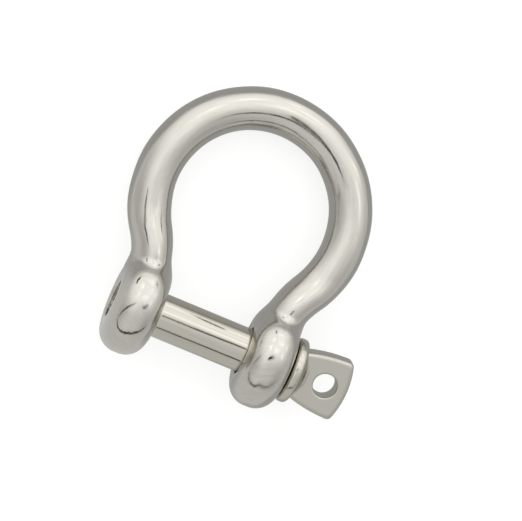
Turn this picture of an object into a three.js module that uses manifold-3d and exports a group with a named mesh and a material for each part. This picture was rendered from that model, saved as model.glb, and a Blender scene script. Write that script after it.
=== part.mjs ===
// Bow shackle of the 10 mm size, in stainless steel, made of its two real pieces:
//   cast_bow   the round-bar bow and the two ears at its ends, one casting
//   screw_pin  the pin: threaded end, plain shank, collar and flat eye tab, one piece
//
// The shackle lies on a flat surface at z = 0, on the undersides of both ears and of the crown.
// X runs along the pin, from the threaded ear to the eye tab, Y from the pin towards the crown,
// and Z up. The origin is under the middle of the shackle's box. Sizes are in millimetres.
import * as THREE from 'three';
import { mergeVertices } from 'three/addons/utils/BufferGeometryUtils.js';
import Module from 'manifold-3d';

const wasm = await Module();
wasm.setup();

// ---- Bow ----
const BAR_R = 4.84; // round bar of the bow
const NECK_SHARE = 0.91; // bar radius just above the ears, as a share of BAR_R
const NECK_FROM = 44; // distance along the bar, from the crown, where it starts to thin
const NECK_TO = 56; // and where it is down to its neck radius
const CROWN_R = 22.4; // centreline radius of the bow
const CROWN_Y = 29.0; // centre of that arc above the pin's axis
const CROWN_TURN = 0.56; // the arc goes on past its widest point by this angle, rad
const SHOULDER_R = 22; // reverse bend between the bow and each leg
const SHOULDER_TURN = 0.32; // rad
const LEG = 5.6; // straight leg that runs down into the ear

// ---- Ears ----
const EAR_X = 15.62; // middle of each ear from the middle of the jaw
const EAR_T = 10.4; // thickness along the pin
const EAR_R = 11.2;
const EAR_EDGE_R = 4.7; // the rim is nearly a full round
const THREAD_BORE_R = 4.25; // crests of the female thread
const THREAD_BORE_CHAMFER = 0.85; // its mouth is wider than the shank's shoulder
const PLAIN_BORE_R = 5.45;
const PLAIN_BORE_CHAMFER = 0.25;

// ---- Screw pin ----
const SHANK_R = 5.0;
const THREAD_R = 4.17; // the threaded end is modelled at the depth of its thread
const THREAD_END_X = -19.5; // it stops short of the ear's outer face
const THREAD_TIP_CHAMFER = 0.8;
const SEAT_GAP = 0.32; // between the pin's shoulders and the ears
const COLLAR_R = 7.45;
const COLLAR_T = 2.5;
const COLLAR_EDGE_R = 1.0;

// ---- Eye tab on the pin ----
const TAB_T = 5.4;
const TAB_EDGE_R = 1.0;
const TAB_ROOT_HALF = 5.3; // half width at the collar
const TAB_TIP_HALF = 7.0; // half width at the far corners
const TAB_CORNER_X = 34.0; // where the far corners would meet if they were sharp
const TAB_TIP_X = 35.3; // middle of the bowed far edge
const TAB_CORNER_CUT = 1.3; // how far each corner's round reaches along its edges
const TAB_SIDE_BOW = 1.4; // the sides are bowed outwards by this much
const EYE_X = 30.0;
const EYE_R = 2.7;
const EYE_CHAMFER = 0.3;
const RAMP_LENGTH = 1.9; // concave ramp from the collar down to each face of the tab
const PIN_TURN = 0.06; // how far the tightened tab stands from level, rad

// ---- Fineness ----
const BAR_STEPS = 64;
const BAR_SIDES = 20;
const EAR_SIDES = 48;
const PIN_SIDES = 40;
const ROUND_STEPS = 6; // along a quarter round
const BEVEL_STEPS = 4; // across the rounded edges of the tab
const CUT_MARGIN = 1; // how far a cutter runs past what it cuts

// ---- Solids ----

/** A closed three.js geometry as a solid that can be joined and cut. */
function solid(geometry) {
  const bare = geometry.clone();
  bare.deleteAttribute('normal');
  bare.deleteAttribute('uv');
  const closed = mergeVertices(bare, 1e-4);
  return new wasm.Manifold(new wasm.Mesh({
    numProp: 3,
    vertProperties: new Float32Array(closed.attributes.position.array),
    triVerts: new Uint32Array(closed.index.array),
  }));
}

/** A solid's surface as a three.js geometry. */
function surface(body) {
  const mesh = body.getMesh();
  const geometry = new THREE.BufferGeometry();
  geometry.setAttribute('position', new THREE.BufferAttribute(mesh.vertProperties, 3));
  geometry.setIndex(new THREE.BufferAttribute(mesh.triVerts, 1));
  geometry.computeVertexNormals();
  return geometry;
}

/** A solid turned about the pin's axis, from [radius, x] points that start and end on it. */
function turned(points, sides) {
  const profile = points.map(([radius, x]) => new THREE.Vector2(radius, x));
  const lathe = new THREE.LatheGeometry(profile, sides);
  return solid(lathe.rotateZ(-Math.PI / 2));
}

/** Points of a quarter round about (radius, x), from one angle to another. */
function round(radius, x, r, from, to) {
  return Array.from({ length: ROUND_STEPS + 1 }, (_, i) => {
    const angle = from + ((to - from) * i) / ROUND_STEPS;
    return [radius + r * Math.cos(angle), x + r * Math.sin(angle)];
  });
}

// ---- Bow: centreline, bar and ears ----

/**
 * The bow's centreline, in the XY plane, from the threaded ear over the crown to the plain
 * ear. Each half is the crown's arc, a reverse bend and a straight leg, one after the other.
 */
class BowLine extends THREE.Curve {
  constructor() {
    super();
    this.arc = CROWN_R * (Math.PI / 2 + CROWN_TURN);
    this.bend = SHOULDER_R * SHOULDER_TURN;
    this.half = this.arc + this.bend + LEG;
  }

  getPoint(t, target = new THREE.Vector3()) {
    const along = (2 * t - 1) * this.half;
    const [x, y] = this.side(Math.abs(along));
    return target.set(Math.sign(along) * x, y, 0);
  }

  /** [x, y] at a distance from the crown, on the side of positive X. */
  side(distance) {
    const onArc = Math.min(distance, this.arc) / CROWN_R;
    let x = CROWN_R * Math.sin(onArc);
    let y = CROWN_Y + CROWN_R * Math.cos(onArc);
    const lean = CROWN_TURN - this.bent(distance);
    x -= SHOULDER_R * (Math.cos(lean) - Math.cos(CROWN_TURN));
    y -= SHOULDER_R * (Math.sin(CROWN_TURN) - Math.sin(lean));
    const down = Math.max(0, distance - this.arc - this.bend);
    return [x - down * Math.sin(lean), y - down * Math.cos(lean)];
  }

  /** How far the reverse bend has turned the bar back at that distance, rad. */
  bent(distance) {
    return Math.min(Math.max(0, distance - this.arc) / SHOULDER_R, SHOULDER_TURN);
  }
}

/** The bar, thinned towards its necks, as a solid. */
function bar(line) {
  const section = new THREE.Shape().absarc(0, 0, BAR_R, 0, 2 * Math.PI);
  const geometry = new THREE.ExtrudeGeometry(section, {
    steps: BAR_STEPS,
    curveSegments: BAR_SIDES / 2,
    extrudePath: line,
  });
  const centres = line.getSpacedPoints(BAR_STEPS);
  const position = geometry.attributes.position;
  const point = new THREE.Vector3();
  for (let i = 0; i < position.count; i += 1) {
    point.fromBufferAttribute(position, i);
    const near = centres.reduce((best, centre, k) => {
      const distance = centre.distanceToSquared(point);
      return distance < best.distance ? { distance, k } : best;
    }, { distance: Infinity, k: 0 });
    const along = Math.abs((2 * near.k) / BAR_STEPS - 1) * line.half;
    const thinned = THREE.MathUtils.smoothstep(along, NECK_FROM, NECK_TO);
    const share = THREE.MathUtils.lerp(1, NECK_SHARE, thinned);
    point.sub(centres[near.k]).multiplyScalar(share).add(centres[near.k]);
    position.setXYZ(i, point.x, point.y, point.z);
  }
  return solid(geometry);
}

/** An ear: a thick disc with a nearly full-round rim, its axis on the pin's. */
function ear(x) {
  const low = x - EAR_T / 2;
  const high = x + EAR_T / 2;
  const ring = EAR_R - EAR_EDGE_R;
  return turned([
    [0, low],
    ...round(ring, low + EAR_EDGE_R, EAR_EDGE_R, -Math.PI / 2, 0),
    ...round(ring, high - EAR_EDGE_R, EAR_EDGE_R, 0, Math.PI / 2),
    [0, high],
  ], EAR_SIDES);
}

/** The cutter for an ear's bore, opened out at both faces. */
function bore(x, r, chamfer) {
  const low = x - EAR_T / 2;
  const high = x + EAR_T / 2;
  const wide = r + chamfer + CUT_MARGIN;
  return turned([
    [0, low - CUT_MARGIN],
    [wide, low - CUT_MARGIN],
    [r, low + chamfer],
    [r, high - chamfer],
    [wide, high + CUT_MARGIN],
    [0, high + CUT_MARGIN],
  ], EAR_SIDES);
}

function castBow() {
  return surface(bar(new BowLine())
    .add(ear(-EAR_X))
    .add(ear(EAR_X))
    .subtract(bore(-EAR_X, THREAD_BORE_R, THREAD_BORE_CHAMFER))
    .subtract(bore(EAR_X, PLAIN_BORE_R, PLAIN_BORE_CHAMFER)));
}

// ---- Screw pin ----

const JAW_HALF = EAR_X - EAR_T / 2;
const COLLAR_X = EAR_X + EAR_T / 2 + SEAT_GAP;
const COLLAR_END_X = COLLAR_X + COLLAR_T;

/** Threaded end, shank and collar, turned in one profile. */
function pinBody() {
  const shoulder = -JAW_HALF + SEAT_GAP;
  const ring = COLLAR_R - COLLAR_EDGE_R;
  return turned([
    [0, THREAD_END_X],
    [THREAD_R - THREAD_TIP_CHAMFER, THREAD_END_X],
    [THREAD_R, THREAD_END_X + THREAD_TIP_CHAMFER],
    [THREAD_R, shoulder],
    [SHANK_R, shoulder],
    [SHANK_R, COLLAR_X],
    ...round(ring, COLLAR_X + COLLAR_EDGE_R, COLLAR_EDGE_R, -Math.PI / 2, 0),
    ...round(ring, COLLAR_END_X - COLLAR_EDGE_R, COLLAR_EDGE_R, 0, Math.PI / 2),
    [0, COLLAR_END_X],
  ], PIN_SIDES);
}

/** The tab's outline: sides that flare from the collar, round corners and a bowed far edge. */
function tabOutline() {
  const start = COLLAR_X + COLLAR_T / 2;
  const corner = new THREE.Vector2(TAB_CORNER_X, TAB_TIP_HALF);
  const root = new THREE.Vector2(start, TAB_ROOT_HALF);
  const back = root.clone().sub(corner).setLength(TAB_CORNER_CUT).add(corner);
  const middle = root.clone().add(back).multiplyScalar(0.5);
  const tip = new THREE.Vector2(2 * TAB_TIP_X - TAB_CORNER_X, 0);
  const across = tip.clone().sub(corner).setLength(TAB_CORNER_CUT).add(corner);
  return new THREE.Shape()
    .moveTo(root.x, -root.y)
    .quadraticCurveTo(middle.x, -middle.y - TAB_SIDE_BOW, back.x, -back.y)
    .quadraticCurveTo(corner.x, -corner.y, across.x, -across.y)
    .quadraticCurveTo(tip.x, 0, across.x, across.y)
    .quadraticCurveTo(corner.x, corner.y, back.x, back.y)
    .quadraticCurveTo(middle.x, middle.y + TAB_SIDE_BOW, root.x, root.y)
    .closePath();
}

/** The tab, with rounded edges and with a concave ramp up to the collar on each face. */
function tab() {
  const outline = tabOutline();
  const plate = new THREE.ExtrudeGeometry(outline, {
    depth: TAB_T - 2 * TAB_EDGE_R,
    curveSegments: ROUND_STEPS,
    bevelThickness: TAB_EDGE_R,
    bevelSize: TAB_EDGE_R,
    bevelOffset: -TAB_EDGE_R,
    bevelSegments: BEVEL_STEPS,
  }).translate(0, 0, TAB_EDGE_R - TAB_T / 2);
  const block = new THREE.ExtrudeGeometry(outline, {
    depth: 2 * COLLAR_R,
    curveSegments: ROUND_STEPS,
    bevelEnabled: false,
  }).translate(0, 0, -COLLAR_R);
  const foot = TAB_T / 2 - TAB_EDGE_R;
  const rampHeight = COLLAR_R - COLLAR_EDGE_R - foot;
  const ramp = Array.from({ length: ROUND_STEPS + 1 }, (_, i) => {
    const angle = (Math.PI / 2) * (i / ROUND_STEPS);
    return [
      foot + rampHeight * (1 - Math.sin(angle)),
      COLLAR_END_X + RAMP_LENGTH * (1 - Math.cos(angle)),
    ];
  });
  const start = COLLAR_X + COLLAR_T / 2;
  const flare = turned([[0, start], [foot + rampHeight, start], ...ramp,
    [0, COLLAR_END_X + RAMP_LENGTH]], PIN_SIDES);
  return solid(plate).add(flare.intersect(solid(block)));
}

/** The cutter for the hole in the tab, opened out at both faces. */
function eyeCutter() {
  const face = TAB_T / 2;
  const wide = EYE_R + EYE_CHAMFER + CUT_MARGIN;
  const profile = [
    [0, -face - CUT_MARGIN],
    [wide, -face - CUT_MARGIN],
    [EYE_R, -face + EYE_CHAMFER],
    [EYE_R, face - EYE_CHAMFER],
    [wide, face + CUT_MARGIN],
    [0, face + CUT_MARGIN],
  ].map(([radius, z]) => new THREE.Vector2(radius, z));
  const cutter = new THREE.LatheGeometry(profile, PIN_SIDES).rotateX(Math.PI / 2);
  return solid(cutter.translate(EYE_X, 0, 0));
}

function screwPin() {
  return surface(pinBody().add(tab()).subtract(eyeCutter()));
}

// ---- Assembly ----

const steel = {
  polishedCasting: new THREE.MeshStandardMaterial({
    color: '#c4c0b6', roughness: 0.16, metalness: 1,
  }),
  turnedAndTumbled: new THREE.MeshStandardMaterial({
    color: '#b8b1a4', roughness: 0.3, metalness: 1,
  }),
};

const bow = new THREE.Mesh(castBow(), steel.polishedCasting);
bow.name = 'cast_bow';
// the crown drops until it rests on the surface that the larger ears stand on
const CROWN_DROP = Math.asin((EAR_R - BAR_R) / (CROWN_Y + CROWN_R));
bow.rotation.x = -CROWN_DROP;

const pin = new THREE.Mesh(screwPin(), steel.turnedAndTumbled);
pin.name = 'screw_pin';
pin.rotation.x = PIN_TURN;

const shackle = new THREE.Group();
shackle.add(bow, pin);
const middle = new THREE.Box3().setFromObject(shackle, true).getCenter(new THREE.Vector3());
shackle.position.set(-middle.x, -middle.y, EAR_R);

export default shackle;
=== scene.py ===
import math

import bpy
import numpy as np
from bpy.props import FloatProperty, FloatVectorProperty, PointerProperty
from mathutils import Matrix, Vector


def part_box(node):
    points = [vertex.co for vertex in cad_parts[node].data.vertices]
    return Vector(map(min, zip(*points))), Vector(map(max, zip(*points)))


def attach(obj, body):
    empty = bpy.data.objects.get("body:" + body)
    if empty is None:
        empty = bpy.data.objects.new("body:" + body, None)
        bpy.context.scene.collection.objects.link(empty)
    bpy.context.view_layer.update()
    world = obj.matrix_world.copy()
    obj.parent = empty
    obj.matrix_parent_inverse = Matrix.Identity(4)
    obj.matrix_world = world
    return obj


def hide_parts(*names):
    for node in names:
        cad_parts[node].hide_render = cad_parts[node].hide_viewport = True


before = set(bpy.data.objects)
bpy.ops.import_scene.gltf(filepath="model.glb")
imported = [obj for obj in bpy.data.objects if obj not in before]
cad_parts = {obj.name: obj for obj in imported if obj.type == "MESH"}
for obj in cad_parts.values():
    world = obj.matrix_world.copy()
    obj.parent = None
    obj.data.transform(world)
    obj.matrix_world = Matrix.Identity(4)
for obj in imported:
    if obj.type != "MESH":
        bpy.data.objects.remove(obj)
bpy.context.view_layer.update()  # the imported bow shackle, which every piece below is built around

bl_info = {
    "name": "Bow shackle",
    "version": (1, 0, 0),
    "blender": (4, 5, 0),
    "location": "3D View > Sidebar > Shackle",
    "description": "Builds a cast stainless steel bow shackle with its screw pin, and a studio stage",
    "category": "Add Mesh",
}

PIN_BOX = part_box("screw_pin")
BOW_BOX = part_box("cast_bow")

MM = 0.001
QUARTER = math.pi / 2
FULL = 2 * math.pi

# the middle of the jaw, on the pin's axis
JAW_CENTRE = np.array([
    (BOW_BOX[0][0] + BOW_BOX[1][0]) / 2,
    (PIN_BOX[0][1] + PIN_BOX[1][1]) / 2,
    (PIN_BOX[0][2] + PIN_BOX[1][2]) / 2,
])

# fine details of the bow's bores
PAST = 1.0 * MM  # how far a cutter runs past what it cuts
THREAD_CLEARANCE = 0.08 * MM  # between the pin's thread and the bore's
THREAD_BORE_CREST = 4.25 * MM  # radius at the crests of the bore's thread
THREAD_BORE_CHAMFER = 4.85 * MM  # radius of its chamfer at the ear's faces
PLAIN_BORE_MOUTH = 0.45 * MM  # round at the plain bore's mouths
SEAT_OUT = 0.08 * MM  # from the plain ear's face out to the collar's seat
SEAT_MARGIN = 0.3 * MM  # from the collar's rim out to the edge of its seat

# fine details of the pin
ROOT_FLAT = 0.30  # share of each half pitch that is flat root
FLANK = 0.50  # share of it that is flank
FLANK_SOFT = 0.35  # how far the flank is from straight, 0 to 1
TIP_RADIUS = 3.45 * MM  # the threaded end's flat tip
TIP_SLOPE = 1.2  # how steeply the point widens behind it
RUN_OUT_FROM = 0.9 * MM  # the thread runs out from this far below the shoulder
RUN_OUT_LONG = 0.7 * MM  # over this length
SHOULDER_EDGE = 0.15 * MM  # the eased edge of the shank's shoulder
COLLAR_FILLET = 0.35 * MM  # between the shank and the collar
RAMP_EDGE = 0.15 * MM  # the ramp starts this far inside the collar's flat face
RAMP_SHARE = 0.62  # length of the ramp, as a share of its height
RAMP_LEAST = 0.18 * MM  # its length where the tab is as high as the collar
RAMP_TURN = 1.0  # how much of a quarter ellipse it follows, in radians
FLARE_LONG = 12.2 * MM  # from the tab's far edge back to where its sides start to flare
FLARE_POWER = 2.4  # how soon they reach the tab's full width
END_BOW = 20.5 * MM  # radius of the tab's bowed far edge
TAB_CORNER = 0.9 * MM  # how softly the sides and the far edge meet
EYE_MOUTH = 0.4 * MM  # round at the eye's mouths

# marks in the steel, to the millimetre; the belt's, the die's and the tumbler's real marks are
# finer, and these are as coarse as they need to be to show
POLISH_CLOUDS = 0.16
ORANGE_PEEL = 0.9
BELT_MARKS = 3.3
BELT_PATCHES = 1.5
DIE_MARKS_ALONG = 0.07
DIE_MARKS_ACROSS = 2.4
TUMBLER_STIPPLE = 2.6

# fineness of the surfaces
BOW_STEP = 0.4 * MM
BOW_COLUMNS = 128
EAR_ROWS = 56
BORE_COLUMNS = 96
BORE_ROWS = 180
PIN_COLUMNS = 232
BOW_SHARP = math.radians(38)  # an edge of the bow stays sharp past this angle
PIN_SHARP = math.radians(40)


# ---------------------------------------------------------------- settings

def size(name, default, description):
    """A length in metres that a user may change."""
    return FloatProperty(name=name, description=description, default=default,
                         min=0.0, unit="LENGTH", subtype="DISTANCE", precision=5)


def angle(name, default, description):
    """An angle in radians that a user may change."""
    return FloatProperty(name=name, description=description, default=default,
                         unit="ROTATION", subtype="ANGLE")


def share(name, default, description):
    """A number from 0 to 1 that a user may change."""
    return FloatProperty(name=name, description=description, default=default,
                         min=0.0, max=1.0, subtype="FACTOR")


def linear(hex_colour):
    """An sRGB hex colour as linear red, green and blue."""
    channels = [int(hex_colour[i:i + 2], 16) / 255 for i in (1, 3, 5)]
    return tuple(c / 12.92 if c <= 0.04045 else ((c + 0.055) / 1.055) ** 2.4 for c in channels)


def colour(name, hex_colour, description):
    """A colour that a user may change."""
    return FloatVectorProperty(name=name, description=description, default=linear(hex_colour),
                               min=0.0, max=1.0, size=3, subtype="COLOR")


class BowSizes(bpy.types.PropertyGroup):
    """Sizes of the one-piece bow: the solid model's, with softer necks of its own."""

    bar: size("Bar", 0.00968, "Diameter of the round bar of the bow")
    neck: share("Neck", 0.91, "Bar diameter above the ears, as a share of the full bar")
    neck_deep: size("Neck depth", 0.0015, "How much thicker the neck is where it meets the ear")
    neck_from: size("Neck from", 0.040, "Distance from the crown where the bar starts to thin")
    neck_to: size("Neck to", 0.060, "Distance from the crown where the bar is thinnest")
    neck_root: size("Neck root", 0.022, "Height above the pin's axis where the neck deepens")
    crown: size("Crown radius", 0.0224, "Centreline radius of the bow")
    crown_up: size("Crown centre", 0.029, "Centre of the bow's arc above the pin's axis")
    crown_turn: angle("Crown turn", 0.56, "How far the arc goes on past its widest point")
    shoulder: size("Shoulder radius", 0.022, "Reverse bend between the bow and each leg")
    shoulder_turn: angle("Shoulder turn", 0.32, "How far the reverse bend turns back")
    leg: size("Leg", 0.0056, "Straight leg of the bar that runs down into the ear")
    ear_at: size("Ear position", 0.01562, "Middle of each ear from the middle of the jaw")
    ear_thick: size("Ear thickness", 0.0104, "Thickness of each ear along the pin")
    ear: size("Ear diameter", 0.0224, "Diameter of the two ears")
    ear_rim: size("Ear rim", 0.0047, "Radius of the rounded rim of the ears")
    fillet: size("Fillet", 0.0026, "How softly the bar runs into the ears at their sides")
    crease: size("Crease", 0.0013, "How softly it runs into them on the two faces of the bow")
    bore: size("Bore", 0.0109, "Diameter of the plain ear's bore")
    ripple: size("Ripple", 0.00003, "Height of the waves that polishing by hand leaves")


class PinSizes(bpy.types.PropertyGroup):
    """Sizes of the one-piece pin: the solid model's, with a real thread and a closer seat."""

    shank: size("Shank", 0.010, "Diameter of the plain shank")
    end: size("Thread end", 0.0195, "Tip of the threaded end from the middle of the jaw")
    pitch: size("Thread pitch", 0.0015, "Pitch of the coarse thread")
    crest: size("Thread crest", 0.00980, "Diameter over the thread's crests")
    root: size("Thread root", 0.00825, "Diameter at the thread's roots")
    run_out: size("Run-out", 0.0092, "Diameter where the thread runs out at the shank")
    gap: size("Seat gap", 0.00018, "Gap between the pin's shoulders and the ears")
    collar: size("Collar", 0.0149, "Diameter of the collar")
    collar_thick: size("Collar thickness", 0.0025, "Thickness of the collar")
    collar_rim: size("Collar rim", 0.0010, "Radius of the collar's rounded rim")
    ramp: size("Ramp", 0.0021, "Length of the concave ramp from the collar to the tab")
    tab_thick: size("Tab thickness", 0.0054, "Thickness of the flat eye tab")
    tab_edge: size("Tab edge", 0.0010, "Radius of the tab's rounded edges")
    tab_root: size("Tab root", 0.0106, "Width of the tab at the collar")
    tab_tip: size("Tab tip", 0.0140, "Width of the tab at its far corners")
    tab_end: size("Tab end", 0.0353, "Far edge of the tab from the middle of the jaw")
    eye_at: size("Eye position", 0.030, "Middle of the eye from the middle of the jaw")
    eye: size("Eye", 0.0054, "Diameter of the hole in the tab")
    turn: angle("Tab turn", 0.06, "How far the tightened tab stands from level")


class SteelFinish(bpy.types.PropertyGroup):
    """Colours of the three steel finishes."""

    polished: colour("Polished casting", "#CCC9C2", "Steel of the polished bow")
    drawn: colour("Drawn shank", "#C9C5BA", "Steel of the bright drawn shank and collar")
    tumbled: colour("Tumbled tab", "#C3C0B6", "Steel of the tumbled, satin eye tab")


class StageSettings(bpy.types.PropertyGroup):
    """Camera and light of the studio stage."""

    distance: size("Camera distance", 0.6007, "From the camera to the shackle")
    azimuth: angle("Azimuth", math.radians(-119.06), "Camera heading round the shackle")
    elevation: angle("Elevation", math.radians(79.02), "Camera height above the horizon")
    roll: angle("Roll", math.radians(23.70), "Turn of the camera about its own view")
    lens: FloatProperty(name="Lens", description="Focal length on a 36 mm sensor, in mm",
                        default=187.95, min=1.0)
    floor: colour("Floor", "#A8A8A6", "Colour of the pale floor, which also glows")
    softbox: FloatProperty(name="Softbox", description="Radiance of the large soft panel",
                           default=1.36, min=0.0)
    tent: FloatProperty(name="Tent", description="Radiance of the rest of the tent",
                        default=0.70, min=0.0)
    # painted shadow: the glow of the mirrored table round the shackle, dimmer than the tent's, stands
    # for the shackle's shadow on it
    table: FloatProperty(name="Table", description="Radiance of the table under the shackle",
                         default=0.45, min=0.0)


# ---------------------------------------------------------------- mesh making

def skin(name, grid, material_rows=None):
    """
    A closed mesh from a grid of points, rows by columns by 3, in metres.
    Each row is a closed ring, the rings are joined in order, and the first and last rings are
    closed by a fan to their own mean point.
    """
    rows, columns = grid.shape[:2]
    points = np.concatenate([grid.reshape(-1, 3), grid[0].mean(0)[None], grid[-1].mean(0)[None]])
    row = np.arange(rows - 1)[:, None] * columns
    here = np.arange(columns)[None, :]
    after = (here + 1) % columns
    quads = np.stack([row + here, row + after, row + columns + after, row + columns + here], -1)
    quads = quads.reshape(-1, 4)
    first, last = rows * columns, rows * columns + 1
    end = (rows - 1) * columns
    ring = np.arange(columns)
    fan_a = np.stack([np.full(columns, first), (ring + 1) % columns, ring], -1)
    fan_b = np.stack([np.full(columns, last), end + ring, end + (ring + 1) % columns], -1)
    mesh = bpy.data.meshes.new(name)
    mesh.from_pydata(points.tolist(), [], quads.tolist() + fan_a.tolist() + fan_b.tolist())
    if material_rows is not None:
        of_quads = np.repeat(material_rows, columns)
        of_fans = np.repeat([material_rows[0], material_rows[-1]], columns)
        mesh.polygons.foreach_set("material_index", np.concatenate([of_quads, of_fans]))
    return mesh


def into_scene(name, mesh):
    """An object for the mesh, at the origin."""
    made = bpy.data.objects.new(name, mesh)
    bpy.context.scene.collection.objects.link(made)
    return made


def cut(piece, *cutters):
    """Cuts the cutter meshes out of the piece, for good."""
    tools = [into_scene(f"{piece.name}_cutter_{i}", m) for i, m in enumerate(cutters)]
    for tool in tools:
        modifier = piece.modifiers.new("cut", "BOOLEAN")
        modifier.operation = "DIFFERENCE"
        modifier.solver = "EXACT"
        modifier.object = tool
    graph = bpy.context.evaluated_depsgraph_get()
    result = bpy.data.meshes.new_from_object(piece.evaluated_get(graph))
    piece.modifiers.clear()
    piece.data = result
    for tool in tools:
        bpy.data.objects.remove(tool)


def finish_surface(piece, sharp_from):
    """Smooth shading, with an edge kept sharp where its faces meet at more than the angle."""
    mesh = piece.data
    mesh.polygons.foreach_set("use_smooth", np.ones(len(mesh.polygons), bool))
    mesh.set_sharp_from_angle(angle=sharp_from)
    mesh.update()


def mouth_round(count=9):
    """
    The round at a hole's mouth, as shares of its radius: depths from the face, 0 to 1, and
    how far the wall stands back at each, on a quarter circle that runs into the wall.
    """
    depth = np.linspace(0, 1, count)
    return depth, 1 - np.sqrt(np.maximum(0, 1 - (1 - depth) ** 2))


def placed(points, turn):
    """Points turned about the pin's axis and moved to the jaw's centre."""
    c, s = math.cos(turn), math.sin(turn)
    rotation = np.array([[1, 0, 0], [0, c, -s], [0, s, c]])
    return points @ rotation.T + JAW_CENTRE


def smooth_min(a, b, reach):
    """The lesser of two distances, rounded off where they are within reach of each other."""
    h = np.clip(0.5 + 0.5 * (b - a) / reach, 0, 1)
    return b + (a - b) * h - reach * h * (1 - h)


def smooth_max(a, b, reach):
    """The greater of two distances, rounded off where they are within reach of each other."""
    return -smooth_min(-a, -b, reach)


def smooth_step(t):
    """A rise from 0 to 1 as t goes from 0 to 1, level at both ends: 3 t squared less 2 t cubed."""
    t = np.clip(t, 0, 1)
    return t * t * (3 - 2 * t)


def push_out(origins, directions, shape, steps=60):
    """
    Where each ray from inside a shape first leaves it.
    Each point walks along its ray by a little less than its own distance to the surface,
    over and over, until that distance is nothing.
    """
    stride = 0.97
    travelled = np.zeros(origins.shape[:-1])
    for _ in range(steps):
        travelled -= stride * shape(origins + directions * travelled[..., None])
    return origins + directions * travelled[..., None]


# ---------------------------------------------------------------- bow

def bow_line(at, s):
    """
    Centreline of the right half of the bow: x, y and the lean of the bar at distances from
    the crown. It is the crown's arc, then a reverse bend, then a straight leg.
    """
    arc = s.crown * (QUARTER + s.crown_turn)
    bend = s.shoulder * s.shoulder_turn
    on_arc = np.minimum(at, arc) / s.crown
    lean = s.crown_turn - np.clip((at - arc) / s.shoulder, 0, s.shoulder_turn)
    down = np.maximum(0, at - arc - bend)
    x = s.crown * np.sin(on_arc) - s.shoulder * (np.cos(lean) - math.cos(s.crown_turn))
    y = s.crown_up + s.crown * np.cos(on_arc)
    y = y - s.shoulder * (math.sin(s.crown_turn) - np.sin(lean))
    heading = np.where(at < arc, on_arc - QUARTER, lean)
    return x - down * np.sin(lean), y - down * np.cos(lean), heading


def bar_distance(p, s):
    """
    Distance from points to the bar's surface: to the nearest of the crown's arc, the reverse
    bend and the leg, less the bar's radius there, which thins towards the ears.
    """
    x, y, z = np.abs(p[..., 0]), p[..., 1], p[..., 2]
    arc = s.crown * (QUARTER + s.crown_turn)
    bend = s.shoulder * s.shoulder_turn
    # the crown's arc
    turn = np.arctan2(x, y - s.crown_up)
    turn = np.minimum(turn, QUARTER + s.crown_turn)
    near = np.stack([s.crown * np.sin(turn), s.crown_up + s.crown * np.cos(turn)], -1)
    from_arc = np.hypot(x - near[..., 0], y - near[..., 1])
    along = turn * s.crown
    # the reverse bend, whose centre is outside the bow
    c, q = math.cos(s.crown_turn), math.sin(s.crown_turn)
    middle_x = (s.crown + s.shoulder) * c
    middle_y = s.crown_up - (s.crown + s.shoulder) * q
    lean = np.arctan2(y - middle_y, middle_x - x)
    lean = np.clip(lean, s.crown_turn - s.shoulder_turn, s.crown_turn)
    bx, by = middle_x - s.shoulder * np.cos(lean), middle_y + s.shoulder * np.sin(lean)
    from_bend = np.hypot(x - bx, y - by)
    along = np.where(from_bend < from_arc, arc + (s.crown_turn - lean) * s.shoulder, along)
    flat = np.minimum(from_arc, from_bend)
    # the leg, down to the middle of the ear
    leg = s.crown_turn - s.shoulder_turn
    sx = middle_x - s.shoulder * math.cos(leg)
    sy = middle_y + s.shoulder * math.sin(leg)
    down = np.clip((sx - x) * math.sin(leg) + (sy - y) * math.cos(leg), 0, s.leg)
    from_leg = np.hypot(x - sx + down * math.sin(leg), y - sy + down * math.cos(leg))
    along = np.where(from_leg < flat, arc + bend + down, along)
    flat = np.minimum(flat, from_leg)
    thinned = smooth_step((along - s.neck_from) / (s.neck_to - s.neck_from))
    radius = s.bar / 2 * (1 - (1 - s.neck) * thinned)
    deep = 1 + s.neck_deep / radius * smooth_step((s.neck_root - y) / (s.neck_root - s.ear / 2))
    return np.hypot(flat, z / deep) - radius


def ear_distance(p, s):
    """Distance from points to a thick disc with a rounded rim, on the pin's axis."""
    out = np.hypot(p[..., 1], p[..., 2]) - (s.ear / 2 - s.ear_rim)
    side = np.abs(np.abs(p[..., 0]) - s.ear_at) - (s.ear_thick / 2 - s.ear_rim)
    outside = np.hypot(np.maximum(out, 0), np.maximum(side, 0))
    return outside + np.minimum(np.maximum(out, side), 0) - s.ear_rim


def hand_polish(p, height):
    """
    The low waves that hand polishing leaves on a casting: a sum of sines along seven
    directions, 8 to 18 mm from crest to crest.
    """
    waves = np.array([
        [310, 95, 120, 0.3], [-120, 330, 210, 1.9], [240, -260, 340, 4.0],
        [60, 480, -190, 2.6], [520, 170, -260, 5.3], [-410, 380, 330, 0.9],
        [150, -620, 460, 3.4],
    ])
    total = sum(np.sin(p @ wave[:3] + wave[3]) for wave in waves)
    return height * total / 2


def bow_shape(s):
    """
    The bow without its bores: bar and ears blended, under the waves of its polish. The blend
    is a wide fillet at the sides and a tight crease on the bow's two faces.
    """
    def distance(p):
        face = smooth_step(np.abs(p[..., 2]) / (s.bar / 2))
        reach = s.fillet + (s.crease - s.fillet) * face
        blended = smooth_min(bar_distance(p, s), ear_distance(p, s), reach)
        return blended + hand_polish(p, s.ripple)
    return distance


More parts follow.
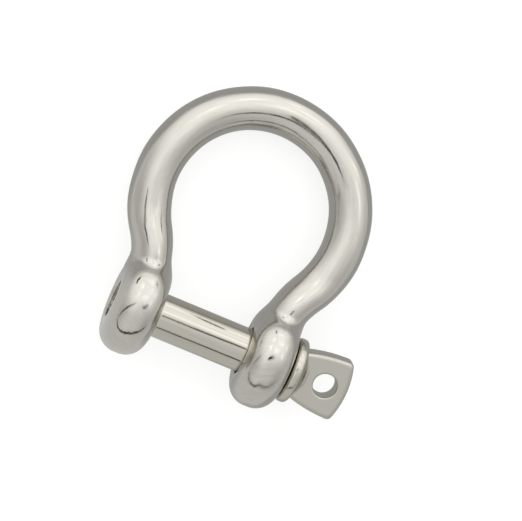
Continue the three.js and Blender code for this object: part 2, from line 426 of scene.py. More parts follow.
def bow_grid(s, along_step, columns, cap_rows):
    """
    The bow's skin, as a ring of rays carried along a spine and pushed out to the blended
    shape. The spine is the bar's centreline, then a straight run to the ear's middle, where
    the rays fan round and close the ear's rounded end.
    """
    to_leg = s.crown * (QUARTER + s.crown_turn) + s.shoulder * s.shoulder_turn
    count = int(to_leg / along_step)
    at = np.linspace(0, to_leg, count)
    x, y, heading = bow_line(at, s)
    runs = int(y[-1] / along_step)
    share_down = np.linspace(0, 1, runs + 1)[1:]
    x = np.concatenate([x, x[-1] + (s.ear_at - x[-1]) * share_down])
    y = np.concatenate([y, y[-1] * (1 - share_down)])
    heading = np.concatenate([heading, heading[-1] * (1 - smooth_step(share_down))])
    tilt = np.linspace(0, QUARTER, cap_rows + 1)[1:-1]
    x = np.concatenate([x, np.full(len(tilt), s.ear_at)])
    y = np.concatenate([y, np.zeros(len(tilt))])
    heading = np.concatenate([heading, np.zeros(len(tilt))])
    tilt = np.concatenate([np.zeros(count + runs), tilt])
    # the left half mirrors the right, and the crown's own ring is used once
    x = np.concatenate([-x[:0:-1], x])
    y = np.concatenate([y[:0:-1], y])
    heading = np.concatenate([heading[:0:-1], heading])
    tilt = np.concatenate([tilt[:0:-1], tilt])
    sign = np.where(np.arange(len(x)) < len(x) // 2, -1, 1)
    level = np.zeros_like(x)
    # outward across the bar, and along it towards the ear
    across = np.stack([sign * np.cos(heading), -np.sin(heading), level], -1)
    onward = np.stack([-sign * np.sin(heading), -np.cos(heading), level], -1)
    up = np.array([0, 0, 1.0])
    around = np.arange(columns) / columns * FULL
    ring = (np.cos(around)[None, :, None] * across[:, None, :]
            + np.sin(around)[None, :, None] * up)
    rays = (np.cos(tilt)[:, None, None] * ring
            + np.sin(tilt)[:, None, None] * onward[:, None, :])
    spine = np.stack([x, y, level], -1)[:, None, :]
    return push_out(np.broadcast_to(spine, rays.shape), rays, bow_shape(s))


def thread_radius(x, theta, crest, root, pitch):
    """
    A right-hand screw thread: at each distance along the pin and angle round it, the radius
    between root and crest, from how far the helix is from that point.
    """
    phase = x / pitch - theta / FULL
    ridge = 1 - 2 * np.abs(phase - np.round(phase))
    flank = np.clip((ridge - ROOT_FLAT) / FLANK, 0, 1)
    return root + (crest - root) * (FLANK_SOFT * smooth_step(flank) + (1 - FLANK_SOFT) * flank)


def lathe_grid(x, radius, theta):
    """Rings about the X axis, from a column of x, a radius at each x and angle, and angles."""
    return np.stack([np.broadcast_to(x, radius.shape), radius * np.cos(theta),
                     radius * np.sin(theta)], -1)


def threaded_bore(s, pin):
    """
    The cutter for the threaded ear: a thread whose grooves have a running clearance outside
    the pin's thread, opened out by a chamfer at both faces.
    """
    theta = np.linspace(0, FULL, BORE_COLUMNS, endpoint=False)[None, :]
    low, high = -s.ear_at - s.ear_thick / 2, -s.ear_at + s.ear_thick / 2
    x = np.linspace(low - PAST, high + PAST, BORE_ROWS)[:, None]
    groove = thread_radius(x, theta, pin.crest / 2, pin.root / 2, pin.pitch) + THREAD_CLEARANCE
    chamfer = THREAD_BORE_CHAMFER + np.maximum(low - x, x - high)
    radius = np.maximum(np.maximum(groove, THREAD_BORE_CREST), chamfer)
    return lathe_grid(x, radius, theta)


def plain_bore(s, pin):
    """
    The cutter for the plain ear's bore, with a small round at both mouths. Past the outer
    mouth it widens to the flat seat that is faced off round the bore for the pin's collar.
    """
    theta = np.linspace(0, FULL, BORE_COLUMNS, endpoint=False)[None, :]
    low, high = s.ear_at - s.ear_thick / 2, s.ear_at + s.ear_thick / 2
    depth, back = mouth_round()
    seat = high + SEAT_OUT
    seat_radius = pin.collar / 2 + SEAT_MARGIN
    x = np.concatenate([[low - PAST], low + PLAIN_BORE_MOUTH * depth, [0.5 * (low + high)],
                        high - PLAIN_BORE_MOUTH * depth[::-1], [seat, seat, high + PAST]])
    opened = s.bore / 2 + PLAIN_BORE_MOUTH * back
    radius = np.concatenate([[opened[0] + PAST], opened, [s.bore / 2], opened[::-1],
                             [opened[0], seat_radius, seat_radius]])
    return lathe_grid(x[:, None], radius[:, None] + 0 * theta, theta)


class SHACKLE_OT_bow(bpy.types.Operator):
    """Build the one-piece bow with its two bored ears"""

    bl_idname = "shackle.bow"
    bl_label = "Cast bow"

    def execute(self, context):
        s, pin = context.scene.shackle_bow, context.scene.shackle_pin
        drop = math.asin((s.ear - s.bar) / 2 / (s.crown_up + s.crown))
        grid = bow_grid(s, BOW_STEP, BOW_COLUMNS, EAR_ROWS)
        bow = into_scene("bow_casting", skin("bow_casting", placed(grid, -drop)))
        # the thread's helix keeps its phase with the pin, which stands at its own turn
        cut(bow, skin("threaded_bore", placed(threaded_bore(s, pin), pin.turn)),
            skin("plain_bore", placed(plain_bore(s, pin), -drop)))
        finish_surface(bow, BOW_SHARP)
        bow.data.materials.clear()
        bow.data.materials.append(polished_cast_stainless(context.scene.shackle_steel, s))
        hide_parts("cast_bow")
        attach(bow, "bow")
        return {"FINISHED"}


# ---------------------------------------------------------------- pin

def tab_distance(p, s):
    """
    Distance from points to the flat tab: the plan is where the two flaring sides and the
    bowed far edge meet in round corners, and the plate's edges are rounded over.
    """
    x, y, z = p[..., 0], np.abs(p[..., 1]), np.abs(p[..., 2])
    start = s.tab_end - FLARE_LONG
    t = np.clip((x - start) / (s.tab_end - start), 0, 1)
    flare = 1 - (1 - t) ** FLARE_POWER
    half = s.tab_root / 2 + (s.tab_tip - s.tab_root) / 2 * flare
    far = np.hypot(x - (s.tab_end - END_BOW), y) - END_BOW
    plan = smooth_max(y - half, far, TAB_CORNER)
    out = plan + s.tab_edge
    over = z - (s.tab_thick / 2 - s.tab_edge)
    outside = np.hypot(np.maximum(out, 0), np.maximum(over, 0))
    return outside + np.minimum(np.maximum(out, over), 0) - s.tab_edge


def pin_columns(s, count):
    """
    Angles round the pin, closer together where the tab's rounded edges are, from a density
    of one everywhere plus a Gaussian bump at each of those four directions.
    """
    crowding, spread = 3.0, 0.17
    fine = np.linspace(0, FULL, 4001)
    edge = math.atan2(s.tab_thick / 2 - s.tab_edge / 2, s.tab_root / 2 + 0.6 * MM)
    density = np.ones_like(fine)
    for centre in (edge, math.pi - edge, math.pi + edge, FULL - edge):
        density += crowding * np.exp(-(((fine - centre) / spread) ** 2))
    total = np.concatenate([[0], np.cumsum((density[1:] + density[:-1]) / 2)])
    return np.interp(np.arange(count) / count, total / total[-1], fine)


def arc_profile(x, radius, r, start, stop, count):
    """Points (x, radius) of an arc about a centre, for a turned profile."""
    a = np.linspace(start, stop, count)
    return x + r * np.sin(a), radius + r * np.cos(a)


def thread_rows(s, shoulder, theta):
    """
    The threaded end: rings across its flat tip, then the helical thread under a conical
    point, with a run-out that rises towards the shoulder.
    """
    tip = -s.end
    across_tip = np.array([0.2, 0.45, 0.7, 0.88, 0.97])[:, None]
    flat = len(across_tip)
    along = np.linspace(tip, shoulder - 0.02 * MM, 118)
    x = np.concatenate([np.full(flat, tip), along])[:, None]
    thread = thread_radius(x, theta, s.crest / 2, s.root / 2, s.pitch)
    point = TIP_RADIUS + (x - tip) * TIP_SLOPE
    rise = smooth_step((x - shoulder + RUN_OUT_FROM) / RUN_OUT_LONG)
    run_out = s.root / 2 + (s.run_out / 2 - s.root / 2) * rise
    radius = np.minimum(np.maximum(thread, run_out), point)
    radius[:flat] = across_tip * radius[flat:flat + 1]
    return x, radius


def shank_rows(s, shoulder, collar):
    """The shank: a cylinder with an eased edge at the shoulder, up to the collar's fillet."""
    along = np.linspace(shoulder + 0.5 * MM, collar - 0.4 * MM, 60)
    eased = shoulder + SHOULDER_EDGE * np.array([0, 0.3, 1.0])
    below = np.array([-0.05, -0.01, 0.0]) * MM
    x = np.concatenate([eased, along])
    radius = s.shank / 2 + np.concatenate([below, np.zeros_like(along)])
    return x[:, None], radius[:, None]


def collar_rows(s, collar, far):
    """The fillet into the collar, then its inner face, rounded rim and outer face, as arcs."""
    ring = s.collar / 2 - s.collar_rim
    fillet = arc_profile(collar - COLLAR_FILLET, s.shank / 2 + COLLAR_FILLET, COLLAR_FILLET,
                         math.pi, QUARTER, 7)
    inner = arc_profile(collar + s.collar_rim, ring, s.collar_rim, -QUARTER, 0, 12)
    outer = arc_profile(far - s.collar_rim, ring, s.collar_rim, 0, QUARTER, 12)
    x, radius = (np.concatenate([fillet[i], inner[i], outer[i][1:]]) for i in (0, 1))
    return x[:, None], radius[:, None]


def ramp_rows(s, far, theta, out, shape):
    """
    The concave ramp on the collar's outer face: part of a quarter of an ellipse down to the
    tab, shorter where the tab stands nearly as high as the collar. It still slopes a little
    where it meets the tab, which leaves a soft edge. Its length at each angle comes last.
    """
    nowhere = np.zeros_like(theta)
    foot = s.collar / 2 - s.collar_rim - RAMP_EDGE
    at_reach = push_out(np.stack([far + s.ramp + nowhere, nowhere, nowhere], -1), out, shape)
    high = np.hypot(at_reach[..., 1], at_reach[..., 2])
    ramp_long = np.clip(RAMP_SHARE * (foot - high), RAMP_LEAST, s.ramp)
    start = push_out(np.stack([far + ramp_long, nowhere, nowhere], -1), out, shape)
    low = np.hypot(start[..., 1], start[..., 2])
    t = np.linspace(0, RAMP_TURN, 15)[1:, None]
    x = far + ramp_long * (1 - np.cos(t)) / (1 - math.cos(RAMP_TURN))
    radius = low + (foot - low) * (1 - np.sin(t) / math.sin(RAMP_TURN))
    return (np.concatenate([far + nowhere, x]), np.concatenate([foot + nowhere, radius]),
            ramp_long)


def tab_rows(s, start, out, shape):
    """
    The tab, from where the ramp ends: rays straight out from the axis along its sides, then
    rays that fan round from its middle and close its end.
    """
    centre = s.eye_at - 0.3 * MM
    t = np.linspace(0, 1, 30)[1:, None]
    side_x = start + (centre - start) * t
    origins = np.stack([side_x, np.zeros_like(side_x), np.zeros_like(side_x)], -1)
    side = push_out(origins, np.broadcast_to(out, origins.shape), shape)
    fan = (QUARTER * smooth_step(np.linspace(0, 1, 90)[1:-1]) ** 0.9)[:, None, None]
    rays = np.cos(fan) * out + np.sin(fan) * np.array([1.0, 0, 0])
    end = push_out(np.broadcast_to([centre, 0.0, 0.0], rays.shape), rays, shape, 90)
    x = np.concatenate([side_x, end[..., 0]])
    hit = np.concatenate([side, end])
    return x, np.hypot(hit[..., 1], hit[..., 2])


def pin_grid(s, bow):
    """
    The whole pin as one meridian carried round its axis, and the finish of each of its rows.
    Tip, helical thread, shank, collar and ramp are bright, and the tab is satin. From the
    collar's outer face on, the meridian changes with the angle.
    """
    theta = pin_columns(s, PIN_COLUMNS)[None, :]
    out = np.stack([np.zeros_like(theta), np.cos(theta), np.sin(theta)], -1)
    shoulder = -(bow.ear_at - bow.ear_thick / 2) + s.gap
    collar = bow.ear_at + bow.ear_thick / 2 + s.gap
    far = collar + s.collar_thick

    def shape(p):
        return tab_distance(p, s)

    ramp_x, ramp_radius, ramp_long = ramp_rows(s, far, theta, out, shape)
    tab = tab_rows(s, far + ramp_long, out, shape)
    rows = [thread_rows(s, shoulder, theta), shank_rows(s, shoulder, collar),
            collar_rows(s, collar, far), (ramp_x, ramp_radius), tab]
    x, radius = (np.concatenate([row[i] + 0 * theta for row in rows]) for i in (0, 1))
    finish = np.zeros(len(x) - 1, int)
    finish[len(x) - len(tab[0]):] = 1
    return lathe_grid(x, radius, theta), finish


def eye_cutter(s):
    """The cutter for the eye: a hole through the tab with rounded mouths."""
    theta = np.linspace(0, FULL, BORE_COLUMNS, endpoint=False)[None, :]
    face = s.tab_thick / 2
    depth, back = mouth_round()
    past = 1 + PAST / EYE_MOUTH
    z = np.concatenate([[-face - PAST], -face + EYE_MOUTH * depth, [0],
                        face - EYE_MOUTH * depth[::-1], [face + PAST]])[:, None]
    flare = np.concatenate([[past], back, [0], back[::-1], [past]])[:, None]
    radius = s.eye / 2 + EYE_MOUTH * flare + 0 * theta
    return np.stack([s.eye_at + radius * np.cos(theta), radius * np.sin(theta),
                     np.broadcast_to(z, radius.shape)], -1)


class SHACKLE_OT_pin(bpy.types.Operator):
    """Build the one-piece screw pin with its thread, collar and eye tab"""

    bl_idname = "shackle.pin"
    bl_label = "Screw pin"

    def execute(self, context):
        s, bow = context.scene.shackle_pin, context.scene.shackle_bow
        grid, finish = pin_grid(s, bow)
        pin = into_scene("pin", skin("pin", placed(grid[:, ::-1], s.turn), finish))
        steel = context.scene.shackle_steel
        pin.data.materials.append(drawn_stainless(steel))
        pin.data.materials.append(tumbled_stainless(steel))
        cutter = skin("eye", placed(eye_cutter(s), s.turn))
        cutter.materials.append(pin.data.materials[0])
        cutter.materials.append(pin.data.materials[1])
        cutter.polygons.foreach_set("material_index", np.ones(len(cutter.polygons), int))
        cut(pin, cutter)
        finish_surface(pin, PIN_SHARP)
        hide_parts("screw_pin")
        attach(pin, "pin")
        return {"FINISHED"}


# ---------------------------------------------------------------- materials

def node(tree, kind, settings=None, links=None):
    """
    Adds a node, sets its settings and input values, and links its inputs to sockets. An input
    goes by its name, or by its number where several share a name.
    """
    made = tree.nodes.new(kind)
    for key, value in (settings or {}).items():
        if isinstance(key, int) or key in made.inputs:
            made.inputs[key].default_value = value
        else:
            setattr(made, key, value)
    for key, socket in (links or {}).items():
        tree.links.new(socket, made.inputs[key])
    return made


def new_material(name):
    """A material with an empty tree, and its output node."""
    material = bpy.data.materials.new(name)
    material.use_nodes = True
    tree = material.node_tree
    tree.nodes.clear()
    return material, tree, tree.nodes.new("ShaderNodeOutputMaterial")


def belt_grain(tree, where, bow, along, across):
    """
    The marks of a polishing belt drawn lengthwise round the bow: noise over the angle round
    the crown's centre, the distance from it and the height, at so many marks per radian
    along the bow and per millimetre across it.
    """
    centre = (float(JAW_CENTRE[0]), float(JAW_CENTRE[1]) + bow.crown_up, float(JAW_CENTRE[2]))
    from_centre = node(tree, "ShaderNodeVectorMath", {"operation": "SUBTRACT", 1: centre},
                       {0: where})
    part = node(tree, "ShaderNodeSeparateXYZ", None, {"Vector": from_centre.outputs[0]})
    turn = node(tree, "ShaderNodeMath", {"operation": "ARCTAN2"},
                {0: part.outputs["X"], 1: part.outputs["Y"]})
    flat = node(tree, "ShaderNodeCombineXYZ", None,
                {"X": part.outputs["X"], "Y": part.outputs["Y"]})
    out = node(tree, "ShaderNodeVectorMath", {"operation": "LENGTH"}, {0: flat.outputs[0]})
    joined = node(tree, "ShaderNodeCombineXYZ", None,
                  {"X": turn.outputs[0], "Y": out.outputs["Value"], "Z": part.outputs["Z"]})
    scaled = node(tree, "ShaderNodeMapping", {"Scale": (along, across / MM, across / MM)},
                  {"Vector": joined.outputs[0]})
    return node(tree, "ShaderNodeTexNoise", {"Scale": 1.0, "Detail": 3.0},
                {"Vector": scaled.outputs[0]})


def polished_cast_stainless(steel, bow):
    """
    Marine stainless steel, investment cast, tumbled and polished bright. The eye gets soft,
    slightly milky reflections that waver where the polishing was uneven, with faint marks of
    the belt lengthwise.
    """
    material, tree, output = new_material("polished_cast_stainless")
    where = node(tree, "ShaderNodeTexCoord").outputs["Object"]
    # clouds of duller polish
    cloud = node(tree, "ShaderNodeTexNoise", {"Scale": POLISH_CLOUDS / MM, "Detail": 4.0},
                 {"Vector": where})
    rough = node(tree, "ShaderNodeMapRange", {"From Min": 0.35, "From Max": 0.65,
                                              "To Min": 0.08, "To Max": 0.20},
                 {"Value": cloud.outputs["Fac"]})
    # orange peel under the marks of the belt
    orange_peel = node(tree, "ShaderNodeTexNoise", {"Scale": ORANGE_PEEL / MM, "Detail": 3.0},
                       {"Vector": where})
    peel = node(tree, "ShaderNodeBump", {"Strength": 0.30, "Distance": 0.04 * MM},
                {"Height": orange_peel.outputs["Fac"]})
    grain = belt_grain(tree, where, bow, 9.0, BELT_MARKS)
    smear = belt_grain(tree, where, bow, 3.5, BELT_PATCHES)
    brushed = node(tree, "ShaderNodeBump", {"Strength": 0.15, "Distance": 0.012 * MM},
                   {"Height": grain.outputs["Fac"], "Normal": peel.outputs[0]})
    haze = node(tree, "ShaderNodeMapRange", {"From Min": 0.45, "From Max": 0.75, "To Min": 0.0,
                                             "To Max": 0.09}, {"Value": grain.outputs["Fac"]})
    dull = node(tree, "ShaderNodeMath", {"operation": "ADD"},
                {0: rough.outputs[0], 1: haze.outputs[0]})
    # slightly warmer and paler patches, drawn out lengthwise
    patch = node(tree, "ShaderNodeMapRange", {"From Min": 0.34, "From Max": 0.62},
                 {"Value": smear.outputs["Fac"]})
    deep = tuple(c * k for c, k in zip(steel.polished, (0.975, 0.97, 0.95))) + (1.0,)
    pale = tuple(min(1.0, c * 1.025) for c in steel.polished) + (1.0,)
    tint = node(tree, "ShaderNodeMix", {"data_type": "RGBA", 6: deep, 7: pale},
                {"Factor": patch.outputs[0]})
    shader = node(tree, "ShaderNodeBsdfPrincipled", {"Metallic": 1.0},
                  {"Base Color": tint.outputs[2], "Roughness": dull.outputs[0],
                   "Normal": brushed.outputs[0]})
    tree.links.new(shader.outputs[0], output.inputs[0])
    return material


def drawn_stainless(steel):
    """
    Marine stainless steel bar, bright drawn through a die. The eye gets long streaks of
    reflection along the shank, broken up by the die's fine lines.
    """
    material, tree, output = new_material("bright_drawn_stainless")
    where = node(tree, "ShaderNodeTexCoord").outputs["Object"]
    along, across = DIE_MARKS_ALONG / MM, DIE_MARKS_ACROSS / MM
    lengthwise = node(tree, "ShaderNodeMapping", {"Scale": (along, across, across)},
                      {"Vector": where})
    marks = node(tree, "ShaderNodeTexNoise", {"Scale": 1.0, "Detail": 3.0},
                 {"Vector": lengthwise.outputs[0]})
    rough = node(tree, "ShaderNodeMapRange", {"From Min": 0.35, "From Max": 0.65,
                                              "To Min": 0.08, "To Max": 0.20},
                 {"Value": marks.outputs["Fac"]})
    bump = node(tree, "ShaderNodeBump", {"Strength": 0.40, "Distance": 0.012 * MM},
                {"Height": marks.outputs["Fac"]})
    deep = tuple(c * 0.86 for c in steel.drawn) + (1.0,)
    pale = tuple(min(1.0, c * 1.08) for c in steel.drawn) + (1.0,)
    tint = node(tree, "ShaderNodeMix", {"data_type": "RGBA", 6: deep, 7: pale},
                {"Factor": marks.outputs["Fac"]})
    shader = node(tree, "ShaderNodeBsdfPrincipled", {"Metallic": 1.0},
                  {"Base Color": tint.outputs[2], "Roughness": rough.outputs[0],
                   "Normal": bump.outputs[0]})
    tree.links.new(shader.outputs[0], output.inputs[0])
    return material


def tumbled_stainless(steel):
    """
    Marine stainless steel as it leaves the tumbler. The eye gets an even, satin, slightly
    stippled grey with no clear reflection.
    """
    material, tree, output = new_material("tumbled_satin_stainless")
    where = node(tree, "ShaderNodeTexCoord").outputs["Object"]
    stipple = node(tree, "ShaderNodeTexNoise", {"Scale": TUMBLER_STIPPLE / MM, "Detail": 3.0},
                   {"Vector": where})
    bump = node(tree, "ShaderNodeBump", {"Strength": 0.35, "Distance": 0.03 * MM},
                {"Height": stipple.outputs["Fac"]})
    rough = node(tree, "ShaderNodeMapRange", {"From Min": 0.3, "From Max": 0.7, "To Min": 0.30,
                                              "To Max": 0.40}, {"Value": stipple.outputs["Fac"]})
    shader = node(tree, "ShaderNodeBsdfPrincipled",
                  {"Metallic": 1.0, "Base Color": tuple(steel.tumbled) + (1.0,)},
                  {"Roughness": rough.outputs[0], "Normal": bump.outputs[0]})
    tree.links.new(shader.outputs[0], output.inputs[0])
    return material


# ---------------------------------------------------------------- stage

TENT_RADIUS = 1.5

# soft panels of the tent: degrees across and above the line to the camera, half width and
# half height in degrees, and how firm the edge is
SOFTBOX = (22, 38, 56, 46, 4)

# and the lesser ones, each after the glow that it adds to the tent's own
PANELS = (
    (0.12, (-14, -38, 42, 24, 4)),  # low front panel
    (-0.16, (56, -48, 30, 22, 2)),  # dim corner
    (-0.12, (-62, 2, 26, 20, 2)),  # dim side
)

# lamps behind the softbox: degrees across and above the line to the camera
LAMPS = ((3, 31), (28, 19), (48, 1), (18, 47), (46, 31), (67, 14), (56, 48))
LAMP_GLOW = 0.5
LAMP_HALF = 5  # degrees

# dark seams round the shackle: mm to the right of the jaw's centre, above it and towards the
# camera, and half the width
SEAMS = {
    "seam_above": ((-160, -12, 45, 1.2), (-86, 3, 45, 2), (-48, 10, 45, 2), (-29, 11, 45, 2),
                   (-14, 11, 45, 1)),
    "seam_left": ((-13.6, 32, 17, 0.3), (-14.8, 27, 17, 1.1), (-17, 24, 17, 1.0),
                  (-16.5, 20.5, 17, 0.7), (-15.5, 19.5, 17, 0.2)),
    "seam_middle": ((15, 1, 90, 2), (21, 1, 90, 6), (31, 1, 90, 6.6), (43, 2, 90, 6),
                    (50, 3, 90, 2)),
    "seam_right": ((26.7, 46, 20, 0.5), (26.8, 42, 20, 2), (27.4, 38, 20, 2.8),
                   (28, 34, 20, 2.6), (27.2, 31, 20, 1.8), (26, 28, 20, 0.5)),
    "seam_below": ((-150, -14, 45, 3), (-117, -61, 47, 5), (-83, -97, 56, 6),
                   (-46, -119, 59, 7), (-15, -121, 69, 7), (22, -125, 60, 7),
                   (47, -121, 52, 6), (86, -104, 38, 3)),
}
SEAM_GLOW = 0.02
SEAM_TONE = (1.0, 0.9, 0.8)

FLOOR_HALF = 3.0
FLOOR_DOWN = 0.08 * MM  # below the surface that the shackle lies on
TABLE_DOWN = 0.03 * MM
# painted shadow and painted light in the glow of the mirrored table: dim round the shackle out to
# here, brighter past the threaded ear's corner
PAINTED_SHADOW_TO = 0.05  # the table is dim round the shackle, out to this distance
PAINTED_SHADOW_FADE = 0.15  # and brightens over this much more
PAINTED_LIGHT_FROM = (-0.028, -0.010)  # a point at the threaded ear's corner of the shackle
PAINTED_LIGHT_WAY = (-0.56, -0.83)  # and the way outwards there
PAINTED_LIGHT_AFTER = 2 * MM  # the table brightens this far past it
PAINTED_LIGHT_FADE = 14 * MM  # over this distance

AIM = (2.445, -2.858, 8.0)  # mm, where the camera looks


def camera_axes(s):
    """The camera's right, up and backward directions, from its azimuth, elevation and roll."""
    back = Vector((math.sin(s.azimuth) * math.cos(s.elevation),
                   -math.cos(s.azimuth) * math.cos(s.elevation), math.sin(s.elevation)))
    up = Vector((0, 1, 0))
    up = (up - back * up.dot(back)).normalized()
    right = up.cross(back)
    turned = up * math.cos(s.roll) - right * math.sin(s.roll)
    return np.array([turned.cross(back), turned, back])


def heading(axes, across, above):
    """Directions at angles across and above the line to the camera, in degrees."""
    a, b = np.radians(across), np.radians(above)
    local = np.stack([np.sin(a) * np.cos(b), np.sin(b), np.cos(a) * np.cos(b)], -1)
    return local @ axes


def panel(directions, axes, place):
    """
    How much of a soft-edged panel each direction sees, 0 to 1: a super-Gaussian of the two
    angles from the panel's middle, flat inside and soft at the edge.
    """
    across, above, half_wide, half_high, edge = place
    middle = heading(axes, across, above)
    side = np.cross(axes[1], middle)
    side /= np.linalg.norm(side)
    rise = np.cross(middle, side)
    a = np.degrees(np.arctan2(directions @ side, directions @ middle))
    b = np.degrees(np.arcsin(np.clip(directions @ rise, -1, 1)))
    return np.exp(-np.abs(a / half_wide) ** edge - np.abs(b / half_high) ** edge)


def glow_material(name, tone):
    """A stage card that only glows, as strongly as its own attribute says."""
    material, tree, output = new_material(name)
    strength = node(tree, "ShaderNodeAttribute", {"attribute_name": "glow"})
    shader = node(tree, "ShaderNodeEmission", {"Color": tuple(tone) + (1.0,)},
                  {"Strength": strength.outputs["Fac"]})
    tree.links.new(shader.outputs[0], output.inputs[0])
    return material


def card(name, grid, glow, tone):
    """An open stage sheet from a grid of points, with the glow of each, unseen by the camera."""
    rows, columns = grid.shape[:2]
    row = np.arange(rows - 1)[:, None] * columns
    here = np.arange(columns - 1)[None, :]
    quads = np.stack([row + here, row + here + 1, row + columns + here + 1,
                      row + columns + here], -1).reshape(-1, 4)
    mesh = bpy.data.meshes.new(name)
    mesh.from_pydata(grid.reshape(-1, 3).tolist(), [], quads.tolist())
    attribute = mesh.attributes.new("glow", "FLOAT", "POINT")
    attribute.data.foreach_set("value", np.broadcast_to(glow, (rows, columns)).ravel())
    mesh.materials.append(glow_material(name, tone))
    made = into_scene(name, mesh)
    made.visible_camera = False
    return made


def light_tent(s, axes):
    """
    The white tent round the shackle: a dome whose glow is one even level, plus the softbox,
    the lesser panels and the lamps.
    """
    level = np.radians(np.linspace(-3, 90, 94))[:, None]
    turn = np.radians(np.linspace(0, 360, 361))[None, :]
    d = np.stack([np.cos(level) * np.cos(turn), np.cos(level) * np.sin(turn),
                  np.sin(level) + 0 * turn], -1)
    glow = s.tent + (s.softbox - s.tent) * panel(d, axes, SOFTBOX)
    for added, place in PANELS:
        glow += added * panel(d, axes, place)
    for across, above in LAMPS:
        glow += LAMP_GLOW * panel(d, axes, (across, above, LAMP_HALF, LAMP_HALF, 2))
    card("light_tent", d * TENT_RADIUS, glow, linear("#FFFFFF"))


def ribbon(name, axes, points):
    """
    A dark ribbon over the shackle, seen only in the steel: a strip that faces the shackle,
    carried along straight lines from point to point, with its width changing evenly.
    """
    points = np.array(points)
    row = np.arange(len(points))
    t = np.linspace(0, row[-1], 12 * row[-1] + 1)
    path = np.stack([np.interp(t, row, points[:, i]) for i in range(4)], -1) * MM
    middle = path[:, :3]
    side = np.cross(np.gradient(middle, axis=0), middle)
    side *= path[:, 3:] / np.linalg.norm(side, axis=-1, keepdims=True)
    grid = np.stack([middle + side, middle - side], 1) @ axes + JAW_CENTRE
    made = card(name, grid, SEAM_GLOW, SEAM_TONE)
    made.visible_diffuse = made.visible_shadow = False


def pale_floor(s):
    """The pale light table under the shackle, which the steel doesn't mirror."""
    half = FLOOR_HALF
    mesh = bpy.data.meshes.new("floor")
    mesh.from_pydata([(-half, -half, 0), (half, -half, 0), (half, half, 0), (-half, half, 0)],
                     [], [(0, 1, 2, 3)])
    floor = into_scene("floor", mesh)
    floor.location.z = -FLOOR_DOWN
    material, tree, output = new_material("pale_light_table")
    shader = node(tree, "ShaderNodeBsdfPrincipled", {
        "Base Color": tuple(s.floor) + (1.0,), "Roughness": 0.9,
        "Emission Color": tuple(linear("#FFFFFF")) + (1.0,), "Emission Strength": 0.72})
    tree.links.new(shader.outputs[0], output.inputs[0])
    mesh.materials.append(material)
    floor.visible_glossy = False


def painted_table_reflection(s):
    """
    The face of the table that the steel mirrors: a card whose glow holds painted shade and light. It
    is dim round the shackle as a painted shadow, as bright as the tent far away, and brighter past
    the corner where the threaded ear stands as painted light.
    """
    out = np.linspace(0, 1, 40)[:, None] ** 2
    turn = np.linspace(0, FULL, 73)[None, :]
    grid = np.stack([out * TENT_RADIUS * np.cos(turn), out * TENT_RADIUS * np.sin(turn),
                     -TABLE_DOWN + 0 * out * turn], -1)
    # painted shadow round the shackle, then painted light past the threaded ear's corner
    away = smooth_step((out * TENT_RADIUS - PAINTED_SHADOW_TO) / PAINTED_SHADOW_FADE)
    beyond = (grid[..., :2] - PAINTED_LIGHT_FROM) @ PAINTED_LIGHT_WAY
    away = np.maximum(away, smooth_step((beyond - PAINTED_LIGHT_AFTER) / PAINTED_LIGHT_FADE))
    glow = s.table + (s.tent - s.table) * away
    face = card("painted_table_reflection", grid, glow, linear("#FFFFFF"))
    face.visible_diffuse = face.visible_shadow = False


def studio_world(scene):
    """An even white light from all round."""
    world = bpy.data.worlds.new("studio")
    scene.world = world
    world.use_nodes = True
    background = world.node_tree.nodes["Background"]
    background.inputs["Color"].default_value = (*linear("#F7F7F5"), 1.0)
    background.inputs["Strength"].default_value = 1.0


def studio_camera(scene, s, axes):
    """The camera, looking down at the shackle as it lies on the table."""
    camera = bpy.data.cameras.new("camera")
    camera.lens, camera.sensor_width = s.lens, 36.0
    camera.clip_start, camera.clip_end = 0.01, 20.0
    eye = bpy.data.objects.new("camera", camera)
    scene.collection.objects.link(eye)
    right, up, back = (Vector(a) for a in axes)
    place = Vector(AIM) * MM + back * s.distance
    eye.matrix_world = Matrix.Translation(place) @ Matrix((
        (*right, 0), (*up, 0), (*back, 0), (0, 0, 0, 1))).transposed()
    scene.camera = eye


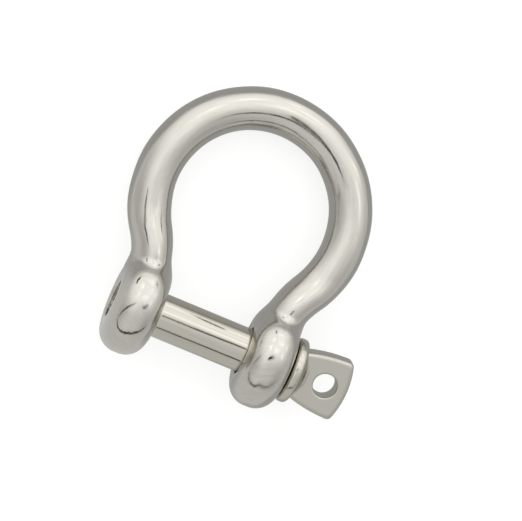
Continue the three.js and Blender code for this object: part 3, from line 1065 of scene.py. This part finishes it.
class SHACKLE_OT_stage(bpy.types.Operator):
    """Build the pale floor, the light tent with its dark seams, and the camera"""

    bl_idname = "shackle.stage"
    bl_label = "Studio stage"

    def execute(self, context):
        s = context.scene.shackle_stage
        axes = camera_axes(s)
        pale_floor(s)
        painted_table_reflection(s)
        light_tent(s, axes)
        for name, points in SEAMS.items():
            ribbon(name, axes, points)
        studio_world(context.scene)
        studio_camera(context.scene, s, axes)
        context.scene.view_settings.view_transform = "Standard"
        return {"FINISHED"}


# ---------------------------------------------------------------- panel and registration

class SHACKLE_PT_panel(bpy.types.Panel):
    """Sidebar panel with the shackle's operators and their settings"""

    bl_idname = "SHACKLE_PT_panel"
    bl_label = "Bow shackle"
    bl_space_type = "VIEW_3D"
    bl_region_type = "UI"
    bl_category = "Shackle"

    def draw(self, context):
        groups = (
            ("shackle.bow", context.scene.shackle_bow),
            ("shackle.pin", context.scene.shackle_pin),
            ("shackle.stage", context.scene.shackle_stage),
        )
        for operator, settings in groups:
            box = self.layout.box()
            box.operator(operator)
            for key in settings.bl_rna.properties.keys():
                if key not in ("rna_type", "name"):
                    box.prop(settings, key)
        box = self.layout.box()
        box.label(text="Steel")
        for key in ("polished", "drawn", "tumbled"):
            box.prop(context.scene.shackle_steel, key)


CLASSES = (
    BowSizes, PinSizes, SteelFinish, StageSettings,
    SHACKLE_OT_bow, SHACKLE_OT_pin, SHACKLE_OT_stage, SHACKLE_PT_panel,
)


def register():
    """Registers every class, and hangs the settings on the scene."""
    for cls in CLASSES:
        bpy.utils.register_class(cls)
    bpy.types.Scene.shackle_bow = PointerProperty(type=BowSizes)
    bpy.types.Scene.shackle_pin = PointerProperty(type=PinSizes)
    bpy.types.Scene.shackle_steel = PointerProperty(type=SteelFinish)
    bpy.types.Scene.shackle_stage = PointerProperty(type=StageSettings)


def unregister():
    """Takes the settings off the scene, and unregisters every class."""
    del bpy.types.Scene.shackle_stage
    del bpy.types.Scene.shackle_steel
    del bpy.types.Scene.shackle_pin
    del bpy.types.Scene.shackle_bow
    for cls in reversed(CLASSES):
        bpy.utils.unregister_class(cls)


def main():
    """Registers the add-on and builds everything in order."""
    register()
    bpy.ops.shackle.stage()
    bpy.ops.shackle.bow()
    bpy.ops.shackle.pin()


if __name__ == "__main__":
    main()
